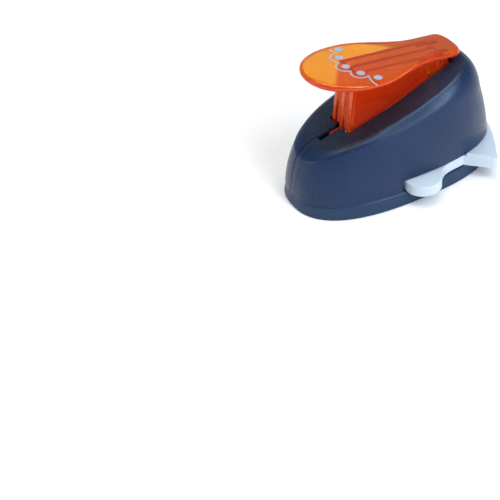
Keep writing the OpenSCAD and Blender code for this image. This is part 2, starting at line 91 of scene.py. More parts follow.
# how far the bend's corner lies below the roof: less at the nose, more behind the ease
CORNER_DROP = 1.7
CORNER_SWING = 1
CORNER_EASE = (-35, -5)

# slot in the roof for the lever, and the strip that closes the nose
SLOT_HALF = 8.65
SLOT_FRONT = -29.6
SLOT_REAR = 33.5
SLOT_CORNER = 0.9
NARROW_HALF = 1.8
NARROW_FRONT = -41
STRIP_HALF = 2.4
STRIP_SUNK = 0.06
SEAM_GAP = 0.3

# the rear of the body opens above the deck, for the guide and the paper
STEP_X = -8.5
THROAT_Z = 14.2
DECK_TOP = 6.9

# lever plate: PLATE_X and PLATE_Z are a point of its top above the hinge
PLATE_X = 34.7
PLATE_Z = 65.4
PLATE_T = 4.3
PLATE_TILT = math.radians(6.95)
PADDLE_HALF = 21
NECK_HALF = 10.9

# places along the plate from that point: its tip, its widest place, the start of its rear corners
# and its rear; NARROWING is the length over which it gets narrower behind its widest place
TIP = -82.8
BULGE = -53.2
CORNERS = -3
REAR = 3.8
NARROWING = 39.5

# ribs below the plate, hinge and cam
WEB_HALF = 8
RIB_T = 2.5
RIB_FOOT = (-27.7, 36.1)
RIB_HEEL = (27, 54.3)
HINGE = (35, 50.5)
HINGE_BORE = 2.55
HUB = 4.6
HUB_WIDTH = 20
CAM_PIN = (20, 55.3)
CAM_PIN_BORE = 1.26


# ---------------------------------------------------------------- shapes of the moulded shells


def power(v, e):
    return math.copysign(abs(v) ** e, v)


def oval(ring, t, a):
    """Point at angle a on a ring that is drawn in by t."""
    front, rear, half, n = ring
    front, rear = front + t, rear - t
    return (
        (front + rear) / 2 + (rear - front) / 2 * power(math.cos(a), 2 / n),
        (half - t) * power(math.sin(a), 2 / n),
    )


def roof(x, y):
    u = x / ROOF_SPAN
    middle = sum(factor * u**i for i, factor in enumerate(ROOF_LINE))
    return middle + ROOF_DISH * (y / CREASE_RING[2]) ** 2


def widened(point):
    """The rings above the seam widen towards the rear."""
    x, y = point
    return x, y * (1 + WIDENING * x)


def seam_at(a, t):
    return np.array((*oval(SEAM_RING, t, a), SEAM_Z))


def shoulder_at(a, t):
    x, y = widened(oval(SHOULDER_RING, t, a))
    front, rear = SHOULDER_RING[:2]
    along = SHOULDER_RISE * (x - front) / (rear - front)
    return np.array((x, y, SHOULDER_Z + along + SHOULDER_CROWN * abs(math.sin(a)) ** 1.5 - 0.6 * t))


def corner_at(a, t):
    x, y = widened(oval(CORNER_RING, t, a))
    start, end = CORNER_EASE
    along = min(1, max(0, (x - start) / (end - start)))
    drop = CORNER_DROP - CORNER_SWING * math.cos(math.pi * along)
    return np.array((x, y, roof(x, y) - drop - t))


def crease_at(a, t):
    x, y = widened(oval(CREASE_RING, t, a))
    return np.array((x, y, roof(x, y) - t))


def wall_at(a, s, t):
    """Point on the wall, from the seam at s = 0 to the shoulder at s = 1."""
    bulge = WALL_BULGE * 4 * s * (1 - s) * np.array((math.cos(a), math.sin(a), 0))
    return (1 - s) * seam_at(a, t) + s * shoulder_at(a, t) + bulge


def bend_at(a, s, t):
    """Point on the bend, from the shoulder at s = 0 past the corner to the crease at s = 1."""
    return (1 - s) ** 2 * shoulder_at(a, t) + 2 * s * (1 - s) * corner_at(a, t) + s * s * crease_at(a, t)


def solve(f, low, high, steps=40):
    """Where the rising or falling function f crosses zero between low and high."""
    rising = f(high) > f(low)
    for _ in range(steps):
        middle = (low + high) / 2
        if (f(middle) > 0) == rising:
            high = middle
        else:
            low = middle
    return (low + high) / 2


def nose_angle(ring, y):
    """Angle at which a ring crosses the line at that y, on the nose side."""
    return solve(lambda a: ring(a)[1] - y, math.pi / 2, math.pi)


# ---------------------------------------------------------------- lines and outlines


def circle(x, y, r, count=48):
    angles = np.linspace(0, 2 * math.pi, count, endpoint=False)
    return [(x + r * math.cos(a), y + r * math.sin(a)) for a in angles]


def box_outline(x0, x1, y0, y1):
    return [(x0, y0), (x1, y0), (x1, y1), (x0, y1)]


def arc(cx, cy, r, start, end, count):
    """Points on an arc, with its angles in degrees."""
    angles = np.radians(np.linspace(start, end, count))
    return [(cx + r * math.cos(a), cy + r * math.sin(a)) for a in angles]


def run_length(points):
    """Length along a line up to each of its points."""
    return np.concatenate([[0], np.cumsum(np.linalg.norm(np.diff(points, axis=0), axis=1))])


def even(points, count):
    """The same line with that many points, evenly spaced."""
    points = np.array(points, float)
    length = run_length(points)
    at = np.linspace(0, length[-1], count)
    return np.stack([np.interp(at, length, points[:, i]) for i in range(points.shape[1])], 1)


def left_of(line):
    """Unit vectors at right angles to a line, at each of its points."""
    step = np.gradient(line, axis=0)
    side = np.stack([-step[:, 1], step[:, 0]], 1)
    return side / np.linalg.norm(side, axis=1)[:, None]


def curve(points):
    """Smooth line through points (Catmull-Rom)."""
    p = [np.array(points[0])] + [np.array(q) for q in points] + [np.array(points[-1])]
    line = []
    for a, b, c, d in zip(p, p[1:], p[2:], p[3:]):
        square = 2 * a - 5 * b + 4 * c - d
        cube = 3 * b - a - 3 * c + d
        for s in np.linspace(0, 1, 12)[:-1]:
            line.append(0.5 * (2 * b + (c - a) * s + square * s**2 + cube * s**3))
    return line + [p[-1]]


# ---------------------------------------------------------------- mesh helpers


def mesh_object(name, verts, faces):
    """An object in the scene, made of points in millimetres."""
    mesh = bpy.data.meshes.new(name)
    mesh.from_pydata([tuple(np.array(v) * MM) for v in verts], [], faces)
    obj = bpy.data.objects.new(name, mesh)
    bpy.context.scene.collection.objects.link(obj)
    return obj


def clean(obj, smooth=True):
    """Merges double points and turns every face outwards."""
    bm = bmesh.new()
    bm.from_mesh(obj.data)
    bmesh.ops.remove_doubles(bm, verts=bm.verts, dist=0.001 * MM)
    bmesh.ops.recalc_face_normals(bm, faces=bm.faces)
    bm.to_mesh(obj.data)
    bm.free()
    for polygon in obj.data.polygons:
        polygon.use_smooth = smooth


def drop_loose(obj):
    """Removes the points that no face uses."""
    bm = bmesh.new()
    bm.from_mesh(obj.data)
    bmesh.ops.delete(bm, geom=[v for v in bm.verts if not v.link_faces], context="VERTS")
    bm.to_mesh(obj.data)
    bm.free()


def piece(name, verts, faces, material, body, replaces=(), smooth=True):
    """A piece of the object in its material, riding on a body and replacing CAD nodes."""
    obj = mesh_object(name, verts, faces)
    obj.data.validate()
    clean(obj, smooth)
    obj.data.materials.append(material)
    if body:
        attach(obj, body)
    if replaces:
        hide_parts(*replaces)
    return obj


def solid(verts, faces):
    """A helper solid that is joined to or cut from another."""
    obj = mesh_object("helper", verts, faces)
    clean(obj)
    return obj


def prism_faces(n):
    """Faces of a prism whose n lower points are followed by its n upper points."""
    sides = [(i, (i + 1) % n, n + (i + 1) % n, n + i) for i in range(n)]
    return [tuple(range(n))[::-1], tuple(range(n, 2 * n))] + sides


def prism(outline, low, high):
    """Upright prism over an outline in X and Y."""
    verts = [(x, y, z) for z in (low, high) for x, y in outline]
    return solid(verts, prism_faces(len(outline)))


def slab(outline, y, thickness):
    """Plate over an outline in X and Z, centred on y."""
    verts = [(x, y + side * thickness / 2, z) for side in (-1, 1) for x, z in outline]
    near, far, *sides = prism_faces(len(outline))
    return solid(verts, [near[::-1], far[::-1]] + sides)


def rounded(obj, width, segments, angle):
    """Rounds the edges that are sharper than the angle in degrees."""
    modifier = obj.modifiers.new("rounding", "BEVEL")
    modifier.width = width * MM
    modifier.segments = segments
    modifier.limit_method = "ANGLE"
    modifier.angle_limit = math.radians(angle)
    modifier.miter_outer = "MITER_ARC"
    modifier.harden_normals = True
    return obj


def applied(obj):
    """Replaces the mesh by the one that its modifiers give."""
    graph = bpy.context.evaluated_depsgraph_get()
    graph.update()
    mesh = bpy.data.meshes.new_from_object(obj.evaluated_get(graph))
    obj.modifiers.clear()
    obj.data = mesh
    return obj


def combine(obj, others, operation):
    """Joins solids to obj, or cuts them out of it."""
    for other in others:
        modifier = obj.modifiers.new("combine", "BOOLEAN")
        modifier.operation = operation
        modifier.solver = "EXACT"
        modifier.object = other
        applied(obj)
        bpy.data.objects.remove(other)
    return obj


def grid_faces(rows, columns, start=0):
    """Quads over a grid of points that are stored row by row from start."""
    corners = [start + i * columns + j for i in range(rows - 1) for j in range(columns - 1)]
    return [(c, c + 1, c + columns + 1, c + columns) for c in corners]


def thicken(outer, inner, faces):
    """Closed shell between an open surface and its inner copy."""
    n = len(outer)
    edges = {}
    for face in faces:
        for a, b in zip(face, face[1:] + face[:1]):
            if a != b:
                edges.setdefault(frozenset((a, b)), []).append((a, b))
    rims = [pairs[0] for pairs in edges.values() if len(pairs) == 1]
    shell = faces + [tuple(i + n for i in reversed(face)) for face in faces]
    shell += [(b, a, a + n, b + n) for a, b in rims]
    return list(outer) + list(inner), shell


# ---------------------------------------------------------------- material helpers

PLAIN = (1, 1, 1, 1)
RUBBED = 0.08

# fineness of the noise, as features per metre
PAPER_SCALE = 6
DRIFT_SCALE = 45
FLOW_SCALE = 60
SINK_SCALE = 60
WAVE_SCALE = 70
RUB_SCALE = 110
STAIN_SCALE = 160
MARK_SCALE = 420
PINHOLE_SCALE = 900
GRAIN_SCALE = 1500
BRUSH_SCALE = 1500


def nodes_of(name):
    material = bpy.data.materials.new(name)
    material.use_nodes = True
    tree = material.node_tree
    return material, tree, tree.nodes["Principled BSDF"]


def noise(tree, scale, detail, roughness=0.55, distortion=0.0):
    """Noise in the object's own coordinates; scale is features per metre."""
    where = tree.nodes.new("ShaderNodeTexCoord")
    node = tree.nodes.new("ShaderNodeTexNoise")
    node.inputs["Scale"].default_value = scale
    node.inputs["Detail"].default_value = detail
    node.inputs["Roughness"].default_value = roughness
    node.inputs["Distortion"].default_value = distortion
    tree.links.new(where.outputs["Object"], node.inputs["Vector"])
    return node.outputs["Fac"]


def ramp(tree, value, stops):
    """Colour ramp; stops are (place, colour)."""
    node = tree.nodes.new("ShaderNodeValToRGB")
    elements = node.color_ramp.elements
    while len(elements) < len(stops):
        elements.new(0.5)
    for element, (place, colour) in zip(elements, stops):
        element.position = place
        element.color = (*colour, 1)
    tree.links.new(value, node.inputs["Fac"])
    return node.outputs["Color"]


def span(tree, value, low, high, start=0.3, end=0.7):
    """Maps a value between start and end to the range from low to high."""
    node = tree.nodes.new("ShaderNodeMapRange")
    node.inputs["From Min"].default_value = start
    node.inputs["From Max"].default_value = end
    node.inputs["To Min"].default_value = low
    node.inputs["To Max"].default_value = high
    tree.links.new(value, node.inputs["Value"])
    return node.outputs["Result"]


def bump(tree, shader, layers):
    """Bumps one over another; layers are (value, height in millimetres)."""
    normal = None
    for value, height in layers:
        node = tree.nodes.new("ShaderNodeBump")
        node.inputs["Distance"].default_value = height * MM
        node.inputs["Strength"].default_value = 1
        tree.links.new(value, node.inputs["Height"])
        if normal:
            tree.links.new(normal, node.inputs["Normal"])
        normal = node.outputs["Normal"]
    tree.links.new(normal, shader.inputs["Normal"])


def facing_up(tree, low, high):
    """0 on walls and 1 on faces that look up, blended between the two values of the normal's Z."""
    facing = tree.nodes.new("ShaderNodeNewGeometry")
    split = tree.nodes.new("ShaderNodeSeparateXYZ")
    tree.links.new(facing.outputs["Normal"], split.inputs["Vector"])
    return span(tree, split.outputs["Z"], 0, 1, low, high)


def moulded(name, dark, pale, rough, grain, gloss=0.5, tint=PLAIN, top=None):
    """Moulded plastic: spark-eroded grain, slight colour drift and rubbed patches; top is a darker,
    duller colour painted on faces that look up, as painted shade for the lever's shadow and the
    dimmer light on the roof."""
    material, tree, shader = nodes_of(name)
    drift = noise(tree, DRIFT_SCALE, 3)
    colour = ramp(tree, drift, [(0.3, dark), (0.7, pale)])
    # painted shade: faces that look up blend into the darker top colour
    if top:
        mix = tree.nodes.new("ShaderNodeMix")
        mix.data_type = "RGBA"
        tree.links.new(facing_up(tree, 0.84, 0.95), mix.inputs["Factor"])
        tree.links.new(colour, mix.inputs["A"])
        mix.inputs["B"].default_value = (*top, 1)
        colour = mix.outputs["Result"]
    tree.links.new(colour, shader.inputs["Base Color"])
    rub = noise(tree, RUB_SCALE, 5, 0.65)
    pits = noise(tree, GRAIN_SCALE, 2, 0.6)
    uneven = tree.nodes.new("ShaderNodeMath")
    tree.links.new(span(tree, rub, rough - RUBBED / 2, rough + RUBBED / 2), uneven.inputs[0])
    tree.links.new(span(tree, pits, -3 * grain, 3 * grain), uneven.inputs[1])
    tree.links.new(uneven.outputs["Value"], shader.inputs["Roughness"])
    bump(tree, shader, [(pits, grain), (noise(tree, SINK_SCALE, 2), 0.05)])
    shader.inputs["IOR"].default_value = 1.5
    shader.inputs["Specular IOR Level"].default_value = gloss
    shader.inputs["Specular Tint"].default_value = tint
    return material


def clear_orange(name, cloudy, cloud, rough, depth, shine):
    """Tinted see-through plastic. cloudy is the share of light that the surface scatters in the colour
    cloud; the rest passes in the colour depth. Faint flow lines and handling marks go through both."""
    material, tree, clear = nodes_of(name)
    milky = tree.nodes.new("ShaderNodeBsdfPrincipled")
    flow = noise(tree, FLOW_SCALE, 4, 0.6, 0.6)
    lighter = tuple(min(1, c * 1.08) for c in depth)
    tree.links.new(ramp(tree, flow, [(0.3, depth), (0.7, lighter)]), clear.inputs["Base Color"])
    darker = tuple(c * 0.9 for c in cloud)
    tree.links.new(ramp(tree, flow, [(0.3, darker), (0.7, cloud)]), milky.inputs["Base Color"])
    marks = noise(tree, MARK_SCALE, 6, 0.7, 1.5)
    worn = span(tree, marks, rough * 0.8, rough * 1.3, 0.4, 0.75)
    for shader in (clear, milky):
        tree.links.new(worn, shader.inputs["Roughness"])
        bump(tree, shader, [(noise(tree, WAVE_SCALE, 2), 0.012), (marks, 0.0008)])
        shader.inputs["IOR"].default_value = 1.49
        shader.inputs["Specular Tint"].default_value = shine
    clear.inputs["Transmission Weight"].default_value = 1
    mix = tree.nodes.new("ShaderNodeMixShader")
    mix.inputs["Fac"].default_value = cloudy
    tree.links.new(clear.outputs["BSDF"], mix.inputs[1])
    tree.links.new(milky.outputs["BSDF"], mix.inputs[2])
    tree.links.new(mix.outputs["Shader"], tree.nodes["Material Output"].inputs["Surface"])
    return material


def metal(name, colour, rough, brush=(1, 1, 1), grain=0.006):
    """Steel with a directional finish: brush stretches the noise along an axis."""
    material, tree, shader = nodes_of(name)
    where = tree.nodes.new("ShaderNodeTexCoord")
    stretch = tree.nodes.new("ShaderNodeMapping")
    stretch.inputs["Scale"].default_value = brush
    lines = tree.nodes.new("ShaderNodeTexNoise")
    lines.inputs["Scale"].default_value = BRUSH_SCALE
    lines.inputs["Detail"].default_value = 5
    tree.links.new(where.outputs["Object"], stretch.inputs["Vector"])
    tree.links.new(stretch.outputs["Vector"], lines.inputs["Vector"])
    stain = noise(tree, STAIN_SCALE, 5, 0.65)
    darker = tuple(c * 0.72 for c in colour)
    tree.links.new(ramp(tree, stain, [(0.35, darker), (0.6, colour)]), shader.inputs["Base Color"])
    tree.links.new(span(tree, lines.outputs["Fac"], rough * 0.7, rough * 1.4), shader.inputs["Roughness"])
    bump(tree, shader, [(lines.outputs["Fac"], grain)])
    shader.inputs["Metallic"].default_value = 1
    return material


def ink(name, colour):
    """Printed ink: fine pinholes and a slightly uneven sheen."""
    material, tree, shader = nodes_of(name)
    cover = noise(tree, PINHOLE_SCALE, 4, 0.7)
    paler = tuple(min(1, c * 1.12) for c in colour)
    tree.links.new(ramp(tree, cover, [(0.35, colour), (0.65, paler)]), shader.inputs["Base Color"])
    tree.links.new(span(tree, cover, 0.35, 0.5), shader.inputs["Roughness"])
    bump(tree, shader, [(cover, 0.004)])
    return material


# ---------------------------------------------------------------- materials

# tints of the highlights: bluish on the navy, yellow to red on the orange
COOL = (0.62, 0.80, 1, 1)
AMBER = (1, 0.85, 0.55, 1)
WARM = (1, 0.5, 0.3, 1)
PINK = (1, 0.8, 0.7, 1)

# colour of the light that passes the orange plastic where it is thin and where it is thick
THIN = (0.95, 0.62, 0.035)
THICK = (0.93, 0.30, 0.02)

NAVY = moulded(
    "navy_plastic",
    (0.0045, 0.015, 0.054),
    (0.007, 0.020, 0.067),
    0.34,
    0.035,
    gloss=0.45,
    tint=COOL,
    # top: painted shade, the roof darker and greyer as if in the lever's shadow
    top=(0.010, 0.018, 0.040),
)
NAVY_BASE = moulded(
    "navy_plastic_base", (0.014, 0.032, 0.076), (0.018, 0.039, 0.090), 0.36, 0.02, gloss=0.35, tint=COOL
)
WHITE = moulded("white_plastic", (0.50, 0.60, 0.70), (0.55, 0.64, 0.74), 0.38, 0.006)
ACETAL = moulded("acetal", (0.70, 0.70, 0.67), (0.78, 0.78, 0.75), 0.35, 0.006)

# surfaces of the lever: the plate's top, rim and underside, then the ribs' sides, edges and panels
LEVER_SURFACES = {
    "top": clear_orange("orange_polished", 0.25, (1.0, 0.10, 0.008), 0.06, THIN, AMBER),
    "rim": clear_orange("orange_rim", 0.55, (0.78, 0.028, 0.006), 0.08, THICK, PINK),
    "under": clear_orange("orange_sparked", 0.45, (0.95, 0.27, 0.012), 0.2, THIN, AMBER),
    "web": clear_orange("orange_web", 0.4, (0.95, 0.06, 0.01), 0.1, THICK, WARM),
    "edge": clear_orange("orange_edge", 0.8, (1.0, 0.085, 0.02), 0.32, THICK, WARM),
    "panel": clear_orange("orange_panel", 0.95, (0.85, 0.13, 0.055), 0.35, THICK, WARM),
}

GROUND = metal("ground_steel", (0.62, 0.62, 0.61), 0.28, (1, 12, 1))
PIN = metal("pin_steel", (0.66, 0.66, 0.65), 0.2, (12, 1, 12))
BLACK = metal("black_steel", (0.12, 0.12, 0.13), 0.42)
ZINC = metal("zinc", (0.60, 0.62, 0.65), 0.38, (1, 1, 6))
CAST = metal("cast_alloy", (0.30, 0.30, 0.31), 0.5, grain=0.02)
SPRING = metal("spring_steel", (0.50, 0.51, 0.53), 0.25)
PRINT = ink("silver_ink", (0.29, 0.33, 0.40))


# ---------------------------------------------------------------- housing

WALL_ROWS = 22
SKIRT_ROWS = 6
BEND_ROWS = 14
ROOF_ROWS = 10

# the crease is cut where each stretch of the slot's rim ends: two cuts at a y, then three at an x
CREASE_CUTS_Y = (STRIP_HALF, 3.4)
CREASE_CUTS_X = (-40.5, -33, 35.5)
STRETCH_COLUMNS = (2, 14, 10, 84, 20)


def slot_half():
    """Plan of the opening's rim on one side, as stretches from the nose to the rear."""
    r = SLOT_CORNER
    front = [arc(SLOT_FRONT + r, SLOT_HALF - r, r, a, a - 45, 4) for a in (180, 135)]
    rear = [arc(SLOT_REAR - r, SLOT_HALF - r, r, a, a - 45, 4) for a in (90, 45)]
    narrow = [(NARROW_FRONT, NARROW_HALF), (SLOT_FRONT, NARROW_HALF)]
    return [
        [(NARROW_FRONT, STRIP_HALF), narrow[0]],
        narrow,
        [narrow[1]] + front[0],
        front[1] + rear[0],
        rear[1] + [(SLOT_REAR, 0)],
    ]


def housing_columns():
    """Angle on the crease and point on the slot's rim, for each column of one side."""

    def crease(a):
        return crease_at(a, 0)

    cuts = [nose_angle(crease, y) for y in CREASE_CUTS_Y]
    cuts += [solve(lambda a, x=x: crease(a)[0] - x, 0, math.pi) for x in CREASE_CUTS_X] + [0]
    angles, rim = [], []
    for start, end, count, stretch in zip(cuts, cuts[1:], STRETCH_COLUMNS, slot_half()):
        fine = np.linspace(start, end, 200)
        length = run_length(np.array([crease(a)[:2] for a in fine]))
        steps = np.linspace(0, length[-1], count + 1)
        first = 1 if angles else 0
        angles += list(np.interp(steps, length, fine))[first:]
        rim += list(even(stretch, count + 1))[first:]
    return angles, rim


def housing_surface(t):
    """Columns of points over one side, drawn in by t: a skirt in front, and wall, bend and roof."""
    angles, rim = housing_columns()

    def fitted(ring, a):
        """Point on a ring, with the angle stretched so that the first column lies on the strip's edge."""
        return ring(a * nose_angle(ring, STRIP_HALF) / angles[0])

    def throat_share(a):
        """Share of the wall's height that lies below the throat."""
        return (THROAT_Z - SEAM_Z) / (shoulder_at(a, t)[2] - SEAM_Z)

    def wall(a, low, high, rows):
        shares = [low + (high - low) * i / rows for i in range(rows + 1)]
        return [fitted(lambda b, s=s: wall_at(b, s, t), a) for s in shares]

    def bend(a):
        shares = [i / BEND_ROWS for i in range(BEND_ROWS + 1)]
        return [fitted(lambda b, s=s: bend_at(b, s, t), a) for s in shares]

    skirt = []
    upper = []
    for a, (x, y) in zip(angles, rim):
        share = throat_share(a)
        if seam_at(a, 0)[0] <= STEP_X + 0.5:
            skirt.append(wall(a, 0, share, SKIRT_ROWS))
        points = wall(a, share, 1, WALL_ROWS)[:-1] + bend(a)
        edge = points[-1]
        for i in range(1, ROOF_ROWS + 1):
            s = i / ROOF_ROWS
            px, py = edge[0] + (x - edge[0]) * s, edge[1] + (y - edge[1]) * s
            points.append(np.array((px, py, roof(px, py) - t)))
        upper.append(points)
    return skirt, upper


def mirrored(columns):
    """The same columns on the far side, in the other order."""
    return [[np.array((p[0], -p[1], p[2])) for p in column] for column in reversed(columns)]


def housing():
    outer, inner, faces = [], [], []
    for store, t in ((outer, 0), (inner, SHELL)):
        skirt, upper = housing_surface(t)
        faces = []
        for block in (upper + mirrored(upper)[1:], skirt, mirrored(skirt)):
            faces += grid_faces(len(block), len(block[0]), len(store))
            for column in block:
                store.extend(column)
    # the skirt's top row and the wall's first row are the same points: share them
    keys = {}
    share = [keys.setdefault(tuple(np.round(p, 4)), i) for i, p in enumerate(outer)]
    faces = [tuple(share[i] for i in face) for face in faces]
    verts, shell = thicken(outer, inner, faces)
    obj = piece("housing_shell", verts, shell, NAVY, "body", ["housing"])
    drop_loose(obj)
    return rounded(obj, 0.22, 3, 40)


def nose_strip():
    """The strip down the nose, between its two seam lines."""
    half = STRIP_HALF - SEAM_GAP
    across = np.linspace(-half, half, 13)
    end = NARROW_FRONT - SEAM_GAP
    surfaces = []
    for t in (STRIP_SUNK, SHELL):
        rings = [lambda a, s=s: wall_at(a, s, t) for s in np.linspace(0, 1, 24)[:-1]]
        rings += [lambda a, s=s: bend_at(a, s, t) for s in np.linspace(0, 1, 14)]
        rows = []
        for ring in rings:
            row = []
            for y in across:
                x, _, z = ring(nose_angle(ring, abs(y)) if abs(y) > 1e-6 else math.pi)
                row.append((x, y, z))
            rows.append(row)
        crease = rows[-1]
        for s in np.linspace(0, 1, 7)[1:]:
            xs = [x + (end - x) * s for x, _, _ in crease]
            rows.append([(x, y, roof(x, y) - t) for x, y in zip(xs, across)])
        surfaces.append([p for row in rows for p in row])
    verts, faces = thicken(*surfaces, grid_faces(len(rows), len(across)))
    obj = piece("nose_cover", verts, faces, NAVY, "body", ["nose_strip"])
    return rounded(obj, 0.15, 2, 40)


# ---------------------------------------------------------------- base

AROUND = 240
LIP_OUT = 1.9
LIP_IN = 4.3
TRAY_FLOOR = 2.5
ROOT_Z = 2
DIE_LEDGE = 3.3
BOSSES = [(x, side * y) for x, y in ((-38, 17.5), (-16, 24)) for side in (1, -1)]
BOSS_R = 3.2
SCREW_R = 1.6
SCREW_HEAD_R = 3
SCREW_HEAD_T = 2.4

# the outside from below, as inset and height: a rounded foot, a sloped side and an eased top edge
SIDE_SLOPE = 1.3
TRAY_SIDE = [(1.2, 0), (0.6, 0.03), (0.22, 0.22), (0.03, 0.5), (0, 0.8)]
TRAY_SIDE += [(SIDE_SLOPE * s, 0.8 + 5.8 * s) for s in (0.2, 0.45, 0.7, 0.88)]
TRAY_SIDE += [(SIDE_SLOPE, 6.45), (1.5, DECK_TOP)]


def base():
    step = solve(lambda a: oval(FOOT_RING, LIP_OUT, a)[0] - (STEP_X - 0.2), 0, math.pi)
    rear, front = np.linspace(0, step, AROUND // 4), np.linspace(step, math.pi, AROUND // 4)
    angles = list(rear) + list(front)[1:]
    angles += [-a for a in reversed(angles[1:-1])]
    n = len(angles)
    has_lip = [abs(a) >= step - 1e-9 for a in angles]
    around = [(j, (j + 1) % n) for j in range(n)]
    verts, faces = [], []

    def ring(t, z):
        """Adds a ring of points and returns the number of its first one."""
        start = len(verts)
        verts.extend((*oval(FOOT_RING, t, a), z) for a in angles)
        return start

    def quad(low, high, j, k):
        return (low + j, low + k, high + k, high + j)

    side = [ring(t, z) for t, z in TRAY_SIDE]
    rim, inside, floor = side[-1], ring(LIP_IN, DECK_TOP), ring(LIP_IN, TRAY_FLOOR)
    lip_out, lip_in = ring(LIP_OUT, SEAM_Z), ring(LIP_IN, SEAM_Z)
    for low, high in zip(side, side[1:]):
        faces += [quad(low, high, j, k) for j, k in around]
    faces.append(tuple(range(n))[::-1])
    faces += [quad(inside, floor, j, k) for j, k in around]
    faces.append(tuple(floor + j for j in range(n)))
    # the rear is level with the deck, the front has a lip up to the seam
    for j, k in around:
        rings = [rim, lip_out, lip_in, inside] if has_lip[j] and has_lip[k] else [rim, inside]
        faces += [quad(low, high, j, k) for low, high in zip(rings, rings[1:])]
    for j in range(n):
        if has_lip[j] and not (has_lip[j - 1] and has_lip[(j + 1) % n]):
            faces.append((rim + j, lip_out + j, lip_in + j, inside + j))
    obj = piece("base_shell", verts, faces, NAVY_BASE, "body", ["base_tray"])
    drop_loose(obj)
    x0, x1, half, seat_z = DIE_LOW[0], DIE_HIGH[0], DIE_HIGH[1], DIE_LOW[2]
    # the die's seat and the bosses stand a little way inside the tray's floor
    combine(obj, [prism(box_outline(x0, x1, -half, half), ROOT_Z, seat_z)], "UNION")
    combine(obj, [prism(circle(x, y, BOSS_R), ROOT_Z, SEAM_Z) for x, y in BOSSES], "UNION")
    chute = box_outline(x0 + DIE_LEDGE, x1 - DIE_LEDGE, DIE_LEDGE - half, half - DIE_LEDGE)
    cutters = [prism(chute, -1, seat_z + 1)]
    cutters += [prism(circle(x, y, SCREW_R), -1, SEAM_Z + 1) for x, y in BOSSES]
    cutters += [prism(circle(x, y, SCREW_HEAD_R), -1, SCREW_HEAD_T) for x, y in BOSSES]
    combine(obj, cutters, "DIFFERENCE")
    clean(obj)
    return rounded(obj, 0.2, 2, 38)


# ---------------------------------------------------------------- lever

# the plate's edge from its top round to its underside, as inset and height
PLATE_EDGE = [(3.4, 0.0), (2.4, -0.02), (1.6, -0.1), (0.95, -0.26), (0.45, -0.55), (0.12, -1.0), (0, -1.6)]
PLATE_EDGE += [(0.08, -2.2), (0.4, -2.9), (0.95, -3.5), (1.6, -3.95), (2.3, -4.2), (3.0, -PLATE_T)]
PLATE_ACROSS = 12
BURIED = 1.8


def paddle_half(s):
    """Half width of the lever's plate at a place along it."""
    if s < BULGE:
        return PADDLE_HALF * max(0, 1 - ((BULGE - s) / (BULGE - TIP)) ** 2.3) ** (1 / 2.1)
    waist = (1 + math.cos(math.pi * min(1, (s - BULGE) / NARROWING))) / 2
    half = NECK_HALF + (PADDLE_HALF - NECK_HALF) * waist
    corner = max(0, (s - CORNERS) / (REAR - CORNERS))
    return half * max(0, 1 - corner**3) ** 0.4


def plate_outline(count=150):
    """One side of the plate's outline from tip to rear, evenly spaced."""
    quarter = np.linspace(0, math.pi / 2, 200)
    nose = [TIP + (BULGE - TIP) * (1 - math.cos(a)) for a in quarter]
    tail = [REAR - (REAR - CORNERS) * (1 - math.sin(a)) for a in quarter]
    stations = nose + list(np.linspace(BULGE, CORNERS, 200))[1:] + tail[1:]
    return even([(s, paddle_half(s)) for s in stations], count)


def on_plate(s, y, z):
    """Point from the plate's own frame: s along it, z above its top."""
    c, n = math.cos(PLATE_TILT), math.sin(PLATE_TILT)
    return (PLATE_X + s * c + z * n, y, PLATE_Z - s * n + z * c)


def plate_place(x, y, z):
    """Point on the plate at a place in plan, z above its top."""
    return on_plate((x - PLATE_X) / math.cos(PLATE_TILT), y, z)


def under(x):
    """Place in X and Z inside the plate, where what hangs below it is rooted."""
    px, _, pz = plate_place(x, 0, -BURIED)
    return px, pz


def plate():
    """The lever's top plate, with its pebble-like edge."""
    line = plate_outline()
    normal = left_of(line)
    normal[0], normal[-1] = (-1, 0), (1, 0)
    n = len(line)
    verts, rings = [], []
    for inset, z in PLATE_EDGE:
        inner = line - normal * inset
        inner[:, 1] = np.maximum(inner[:, 1], 0)
        loop = list(inner) + [(s, -y) for s, y in inner[-2:0:-1]]
        rings.append(list(range(len(verts), len(verts) + len(loop))))
        verts += [on_plate(s, y, z) for s, y in loop]
    m = len(rings[0])
    faces = []
    for low, high in zip(rings[1:], rings):
        faces += [(low[j], low[(j + 1) % m], high[(j + 1) % m], high[j]) for j in range(m)]
    # top and underside as quads across the plate, which narrow to triangles at its two ends
    for ring in (rings[0], rings[-1]):
        rows = [[ring[0]] * (PLATE_ACROSS + 1)]
        for j in range(1, n - 1):
            a, b = ring[j], ring[m - j]
            row = [a]
            for k in range(1, PLATE_ACROSS):
                row.append(len(verts))
                verts.append(tuple(np.array(verts[a]) + (np.array(verts[b]) - verts[a]) * k / PLATE_ACROSS))
            rows.append(row + [b])
        rows.append([ring[n - 1]] * (PLATE_ACROSS + 1))
        for one, two in zip(rows, rows[1:]):
            for k in range(PLATE_ACROSS):
                corners = (one[k], one[k + 1], two[k + 1], two[k])
                faces.append(tuple(dict.fromkeys(corners)))
    return verts, faces


